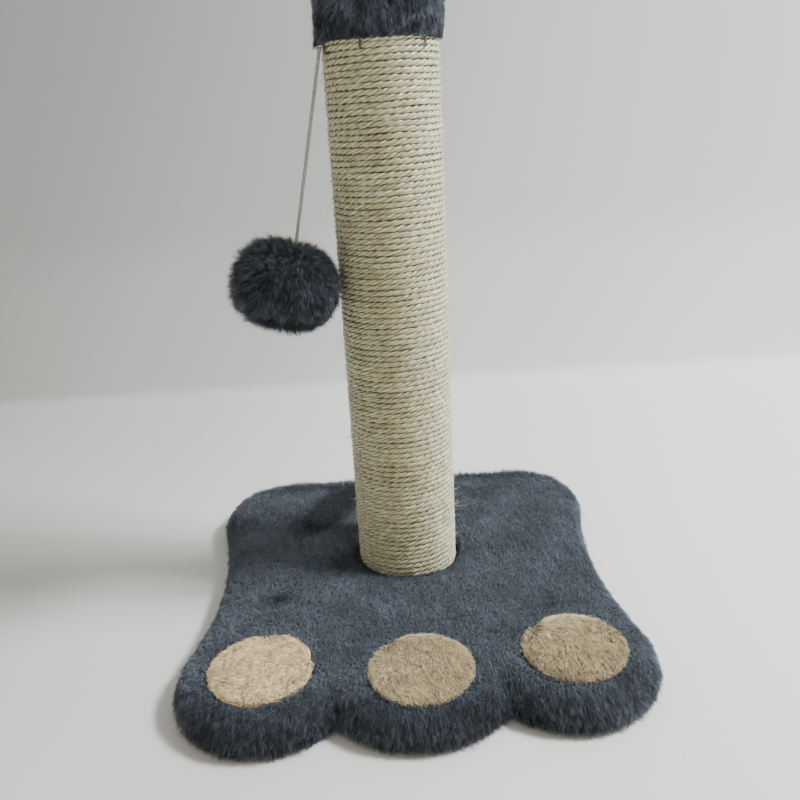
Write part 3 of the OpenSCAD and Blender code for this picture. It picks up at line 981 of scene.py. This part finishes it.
def make_collar():
    """Band of plush round the top of the post, its pile hanging down."""
    rng = np.random.default_rng(8)
    cols, rows = 120, 16
    angle = np.arange(cols) * TAU / cols
    seam_z = COLLAR_HI[2]
    heights = np.linspace(COLLAR_LO[2] + 0.4, seam_z, rows)
    grid = [around_post(angle, collar_radius(z - 0.4, angle), z + 0.35 * np.sin(5 * angle + 1) * (k == 0))
            for k, z in enumerate(heights)]
    inner = around_post(angle, collar_radius(heights[0], angle) - 0.9, heights[0] + 0.4)
    verts = np.concatenate([inner, *grid])
    faces = [grid_faces(rows + 1, cols)]
    skin = mesh_piece("plush_collar", verts, faces, BLUE_BACK, slot="plush_dark")
    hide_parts("collar_band")
    density = 3.0
    roots, normals = scatter(verts[cols:], [grid_faces(rows, cols)], density, rng)
    above_hem = np.clip((roots[:, 2] - COLLAR_LO[2]) / 22, 0, 1)
    tone = 0.12 * waves(roots * [1, 1, 0.5], 11, 81) + 0.16 * waves(roots * [1, 1, 0.3], 3.5, 82)
    swing = 0.35 * waves(roots, 16, 84)[:, None] * np.cross(normals, [0, 0, 1.0])
    pile = hairs("plush_collar_pile", roots, normals, density, rng, DARK, "plush_dark",
                 nap=swing - [0, 0, 1.0], lean=0.85 + 0.16 * waves(roots, 9, 83), length=9.0, radius=0.12,
                 spacing=2.0, grain=np.diag([1, 1, 0.5]), pull=0.6, stray=0.2,
                 tone=tone - 0.28 + 0.14 * above_hem, keep_off=keep_below_cap)


def make_cap():
    """Plush disc over the top of the tube, gathered under the collar's seam."""
    rng = np.random.default_rng(9)
    cols = 120
    angle = np.arange(cols) * TAU / cols
    section = [(TUBE_R + 1.0, -0.4), (TUBE_R + 0.9, 0.5), (TUBE_R + 0.2, 1.3), (TUBE_R - 2, 1.7), (24, 1.9),
               (16, 2.1), (9, 2.2), (4, 2.25), (0.6, 2.25)]
    puckers = 0.12 * np.sin(9 * angle)
    verts = np.concatenate([around_post(angle, r, COLLAR_HI[2] + z + puckers) for r, z in section])
    faces = [grid_faces(len(section), cols), (np.arange(cols) + (len(section) - 1) * cols)[None]]
    skin = mesh_piece("plush_cap", verts, faces, BLUE_BACK, slot="plush_dark")
    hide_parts("cap_cover")
    density = 1.8
    roots, normals = scatter(verts, faces, density, rng)
    off = np.column_stack([roots[:, :2] - POST, np.zeros(len(roots))])
    turn = 0.8 * waves(roots, 40, 91)
    nap = unit(off) + heading(turn) * 0.8
    pile = hairs("plush_cap_pile", roots, normals, density, rng, DARK, "plush_dark", nap=nap, lean=0.8,
                 length=9.0, tone=0.1 * waves(roots, 18, 92), keep_off=keep_below_cap)


make_collar()
make_cap()


# ======== ball
def ball_frame():
    a = unit(np.cross(BALL_UP, [0.0, 1.0, 0.0]))
    return a, np.cross(BALL_UP, a), BALL_UP


def ball_point(polar, angle, round_r, gather=0.0):
    """Point of the flattened ball: polar is the angle from its dimple."""
    a, b, c = ball_frame()
    fold = gather * np.sin(13 * angle + 0.8 * np.sin(3 * angle)) * np.exp(-(polar / 0.45) ** 2)
    flat = BALL_FLAT * np.clip(polar / 0.5, 0, 1) * np.clip((math.pi - polar) / 0.5, 0, 1)
    out = flat + (round_r + fold) * np.sin(polar)
    up = (round_r + fold) * np.cos(polar) - (round_r + 4 - NECK_HEIGHT) * np.exp(-(polar / 0.22) ** 2)
    way = np.cos(angle)[..., None] * a + np.sin(angle)[..., None] * b
    return BALL_C + out[..., None] * way + up[..., None] * c


def ball_grid(round_r, gather, rows, cols):
    polar = np.linspace(0.1, math.pi - 0.02, rows)[:, None] * np.ones((1, cols))
    angle = np.arange(cols)[None] * TAU / cols * np.ones((rows, 1))
    return ball_point(polar, angle, round_r, gather).reshape(-1, 3)


def closed_below(rows, cols):
    """Faces of a grid of rings round the ball, closed at the last ring."""
    return [grid_faces(rows, cols)[:, ::-1], (np.arange(cols) + (rows - 1) * cols)[None, ::-1]]


def make_ball():
    """Plush circle gathered over a ball of wadding; the hair runs away from the dimple."""
    rng = np.random.default_rng(10)
    rows, cols = 60, 104
    verts = ball_grid(BALL_ROUND - 6.2, 0.9, rows, cols)
    faces = closed_below(rows, cols)
    skin = mesh_piece("plush_ball", verts, faces, BLUE_BACK, "ball", "plush_ball")
    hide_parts("ball_cover")
    density = 2.8
    roots, normals = scatter(verts, faces, density, rng)
    out = roots - BALL_C
    normals = np.where(dot(normals, out) < 0, -normals, normals)
    height = (out @ BALL_UP)[:, None]
    nap = out * 0.25 - BALL_UP + rng.normal(0, 0.1, out.shape)
    near = np.exp(-((height - 14) / 8) ** 2)
    nap = nap + near * unit(out - height * BALL_UP)
    way = unit(out)
    gathered = np.clip(-waves(way, 0.4, 101), -1, 1)
    upper = np.clip(way @ unit(np.array([-0.75, 0, 0.66])), -1, 1)
    lower = np.clip(way @ unit(np.array([-0.6, 0, -0.8])), 0, 1) ** 2
    # dimple, and the top and right-side terms of the tone, are painted shade: the ball is darker on top, on
    # its right towards the windows and round the dimple
    dimple = 0.16 * np.clip(way @ BALL_UP - 0.55, 0, 0.3) / 0.3
    length = 10.2 + 1.8 * upper + 2.4 * lower + 0.9 * waves(roots, 3.5, 105)
    tone = (-0.31 - 0.07 * np.clip(normals[:, 2], 0, 1) - 0.07 * way[:, 0] - dimple
            + 0.06 * waves(roots, 16, 103) + 0.05 * gathered)
    upright = np.clip(upper, 0, 1)
    hairs("plush_ball_pile", roots, normals, density, rng, DARK, "plush_ball", "ball", nap=nap,
          lean=0.72 + 0.14 * waves(roots, 18, 102) - 0.3 * upright, length=length, radius=0.12,
          spacing=1.9, pull=0.7 + 0.3 * upright, stray=0.22, tone=tone, keep_off=keep_ball_off)
    rows, cols = 30, 52
    stuffing = ball_grid(BALL_ROUND - 9.0, 0.0, rows, cols)
    stuffing = BALL_C + (stuffing - BALL_C) * (0.985 + 0.012 * waves(stuffing, 12, 104))[:, None]
    faces = [*closed_below(rows, cols), np.arange(cols)[None]]
    wadding = mesh_piece("ball_wadding", stuffing, faces, wadding_material(), "ball", "fibre_white")
    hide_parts("ball_filling")


def keep_ball_off(points):
    """The ball's hair is pressed flat where it rests on the rope."""
    return outward(points, POST, ROPE_OUT + 0.3)


def make_gather_thread():
    """Sewing thread wound round the neck of the ball."""
    a, b, c = ball_frame()
    t = np.linspace(0, 3 * TAU, 140)[:, None]
    path = BALL_NECK + 0.5 * c + 3.0 * (np.cos(t) * a + np.sin(t) * b) + c * (t / TAU - 1.5) * 0.35
    piece = mesh_piece("gathering_thread", *tube(path, 0.22, 8), THREAD, "ball", "thread_dark")
    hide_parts("gather_thread")


make_ball()
make_gather_thread()


# ======== CAD nodes left as they are
CHIPBOARD = board_material("board_wood", (0.42, 0.30, 0.17), (0.25, 0.16, 0.08))
FIBREBOARD = board_material("plug_wood", (0.44, 0.32, 0.19), (0.33, 0.23, 0.13))
FINISHES = [(CHIPBOARD, ["base_board"]), (FIBREBOARD, ["bottom_plug", "top_plug"]),
            (card_material(), ["post_tube"]), (STAPLE, ["underside_staples", "rope_staples", "cord_staple"]),
            (ZINC, ["tee_nut", "post_bolt", "bolt_washer"]), (CORD, ["cord_tail", "cord_end_knot"])]
for finish, names in FINISHES:
    for name in names:
        slots = frame["nodes"][name].data.materials
        slots.clear()
        slots.append(finish)


# ======== floor and light
def make_studio():
    """White paper floor that turns up behind the post, painted with shade up the wall and toward the
    back-left, daylight from windows and the room's soft light.
    """
    m = Shader("paper_white", (0.86, 0.86, 0.84), 0.9, specular=0.2)
    height = m.node("ShaderNodeSeparateXYZ")
    m.link(m.coordinates(), height.inputs[0])
    # The paper's colour is painted shade: it grows darker from the floor up the wall
    paper = m.ramp(height.outputs["Z"], (0.0, (0.88, 0.885, 0.87)), (0.02, (0.82, 0.825, 0.81)),
                   (0.15, (0.75, 0.76, 0.75)), (0.21, (0.66, 0.67, 0.66)), (0.45, (0.59, 0.595, 0.59)))
    # Painted shade towards the back-left corner, and a little painted light towards the front right
    to_dim_corner = m.node("ShaderNodeVectorMath", {1: (-0.9, 0.3, 0.5)}, operation="DOT_PRODUCT")
    shifted = m.node("ShaderNodeMath", {1: 0.3}, operation="ADD")
    m.link(m.coordinates(), to_dim_corner.inputs[0])
    m.link(to_dim_corner.outputs["Value"], shifted.inputs[0])
    dim = m.ramp(shifted.outputs[0], (0.05, grey(1.06)), (0.3, grey(1.01)), (0.45, grey(1.0)),
                 (0.55, grey(0.93)), (0.65, grey(0.87)), (0.75, grey(0.85)), (0.92, grey(0.73)))
    m.colour(m.multiply(paper, dim))
    ends = np.array([-3000.0, 3000.0])
    back, sweep, top = 464.0, 14.0, 2500.0
    bend = np.linspace(0, math.pi / 2, 16)
    line = [(-2500.0, 0.0)]
    line += [(back - sweep + sweep * math.sin(t), sweep - sweep * math.cos(t)) for t in bend]
    line += [(back, top)]
    verts = np.array([(x, y, z) for y, z in line for x in ends])
    faces = grid_faces(len(line), 2, closed=False)[:, ::-1]
    mesh_piece("paper_sweep", verts, [faces], m.material, body=None)
    world = bpy.data.worlds.new("studio")
    world.use_nodes = True
    bpy.context.scene.world = world
    room_light(world.node_tree)
    for number, azimuth in enumerate([-5.5, -16]):
        window_light(f"window_{number + 1}", math.radians(azimuth), elevation=math.radians(48), distance=1.5,
                     size=0.23, power=16.3)


def room_light(tree):
    """Soft warm light, brighter from the ceiling than from the sides."""
    parts = tree.nodes.new("ShaderNodeSeparateXYZ")
    ramp = tree.nodes.new("ShaderNodeValToRGB")
    for element, level in zip(ramp.color_ramp.elements, [0.355, 0.635]):
        element.color = (level, 0.935 * level, 0.83 * level, 1.0)
    tree.links.new(tree.nodes.new("ShaderNodeTexCoord").outputs["Generated"], parts.inputs[0])
    tree.links.new(parts.outputs["Z"], ramp.inputs[0])
    tree.links.new(ramp.outputs[0], tree.nodes["Background"].inputs["Color"])


def window_light(name, azimuth, elevation, distance, size, power):
    """Square window beside the post; azimuth is counted from the right towards the back."""
    data = bpy.data.lights.new(name, "AREA")
    data.size = size
    data.energy = power
    data.color = (0.95, 0.98, 1.0)
    way = Vector((math.cos(elevation) * math.cos(azimuth), math.cos(elevation) * math.sin(azimuth),
                  math.sin(elevation)))
    light = bpy.data.objects.new(name, data)
    at = Vector((0, POST[1] * MM, 0.1)) + way * distance
    light.matrix_world = Matrix.Translation(at) @ way.to_track_quat("Z", "Y").to_matrix().to_4x4()
    bpy.context.scene.collection.objects.link(light)


make_studio()
